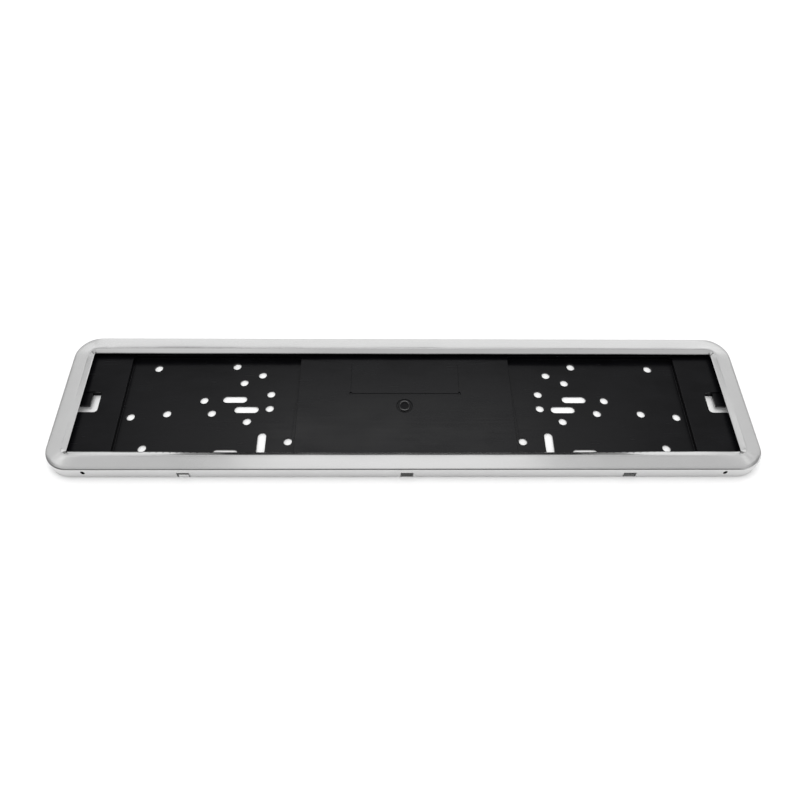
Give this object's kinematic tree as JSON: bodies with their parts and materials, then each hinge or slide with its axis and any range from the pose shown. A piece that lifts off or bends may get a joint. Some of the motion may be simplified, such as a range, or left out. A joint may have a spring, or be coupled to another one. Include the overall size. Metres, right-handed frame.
{
  "type": "number plate holder",
  "caption": "Number plate holder: a satin steel frame with a folded lip around a black moulded base panel whose sunken pockets carry holes and slots for screws.",
  "frame": {"origin": "under the middle of the holder, on the plane that its back rests on", "axes": "+X along the plate, -Y towards the edge with the two screw holes, +Z out of the face"},
  "size_m": [0.53, 0.122, 0.013],
  "materials": {
    "satin_steel": "satin stainless sheet",
    "black_plastic": "matte black moulding"
  },
  "bodies": {
    "root": {"steel_frame": "satin_steel", "base_panel": "black_plastic"}
  },
  "joints": []
}
